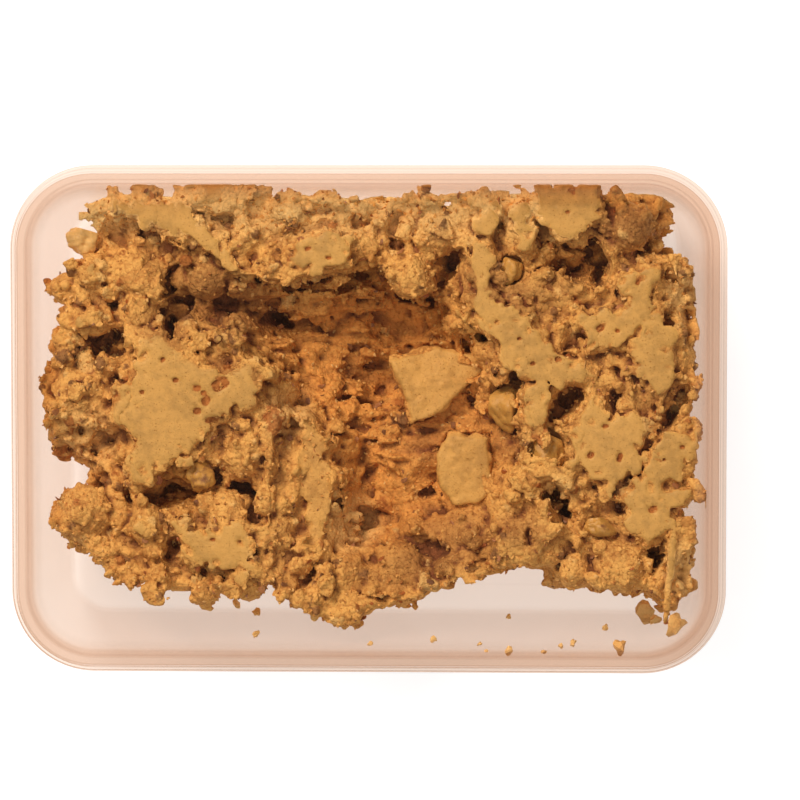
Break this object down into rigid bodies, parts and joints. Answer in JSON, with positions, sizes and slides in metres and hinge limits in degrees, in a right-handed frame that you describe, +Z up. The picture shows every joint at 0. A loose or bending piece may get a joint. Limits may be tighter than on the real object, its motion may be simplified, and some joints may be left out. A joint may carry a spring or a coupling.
{
  "type": "walnut halva in a clear tub",
  "caption": "Crumbled walnut halva packed in a clear rectangular tub with rounded corners and a lid pressed shut, which it touches in places.",
  "frame": {"origin": "middle of the tub's base, on the surface that it stands on", "axes": "+X along the tub's long side, +Y to its back, +Z up through the lid"},
  "size_m": [0.172, 0.122, 0.047],
  "materials": {
    "clear_plastic": "clear thin moulded plastic, faintly frosted",
    "halva": "crumbly sesame halva, dull, with smoother pale faces where it was pressed",
    "walnut": "broken walnut with brown skin, slightly oily"
  },
  "bodies": {
    "root": {"tub": "clear_plastic", "lid": "clear_plastic", "halva": "halva", "halva_slab": "halva", "halva_block": "halva", "walnut_back_left": "walnut", "walnut_left": "walnut", "walnut_back_right": "walnut", "walnut_middle": "walnut", "walnut_right": "walnut", "walnut_front": "walnut"}
  },
  "joints": []
}
